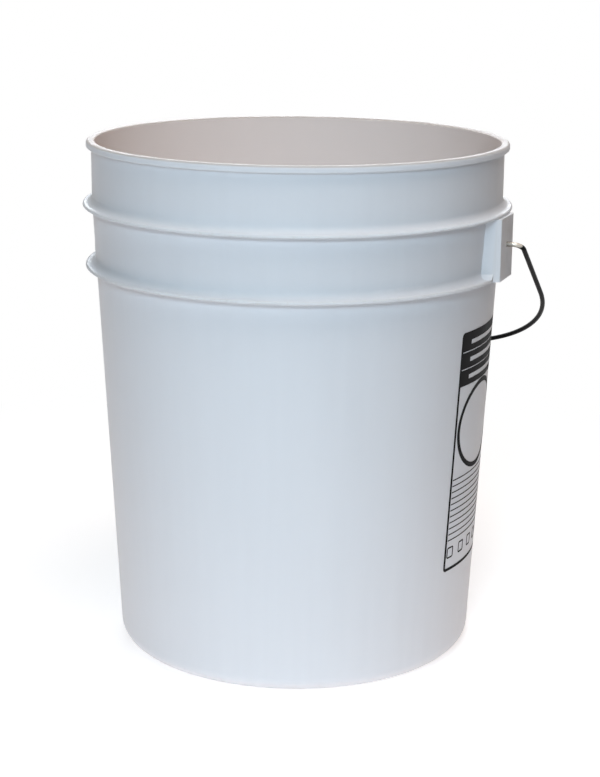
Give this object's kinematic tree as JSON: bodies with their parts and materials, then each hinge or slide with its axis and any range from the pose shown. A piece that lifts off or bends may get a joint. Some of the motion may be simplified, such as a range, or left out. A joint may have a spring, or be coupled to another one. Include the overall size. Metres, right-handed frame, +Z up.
{
  "type": "bucket with wire bail",
  "caption": "Tapered round moulded pail with a lipped rim, stiffening rings and cored side ears; its hooked wire bail swings over the mouth and carries a free-turning grip.",
  "frame": {"origin": "centre of the foot ring, in the plane that the pail stands on", "axes": "+Z up along the pail's axis, X along the bail's pivot line through both ears, and the bail hangs on the +Y side at rest"},
  "size_m": [0.3326, 0.3147, 0.3683],
  "materials": {
    "pail_plastic": "satin moulded polyethylene",
    "bail_steel": "dark drawn steel wire, half gloss",
    "grip_plastic": "satin moulded polyethylene"
  },
  "bodies": {
    "pail": {"pail_body": "pail_plastic"},
    "bail": {"bail_wire": "bail_steel"},
    "grip": {"bail_grip": "grip_plastic"}
  },
  "joints": [
    {"name": "bail_swing", "type": "hinge", "parent": "pail", "child": "bail", "pos_m": [0, 0, 0.3032], "axis": [1, 0, 0], "range_deg": [0, 251.6]},
    {"name": "grip_spin", "type": "hinge", "parent": "bail", "child": "grip", "pos_m": [0.0008, 0.15092, 0.19435], "axis": [1, 0, 0], "continuous": true}
  ]
}
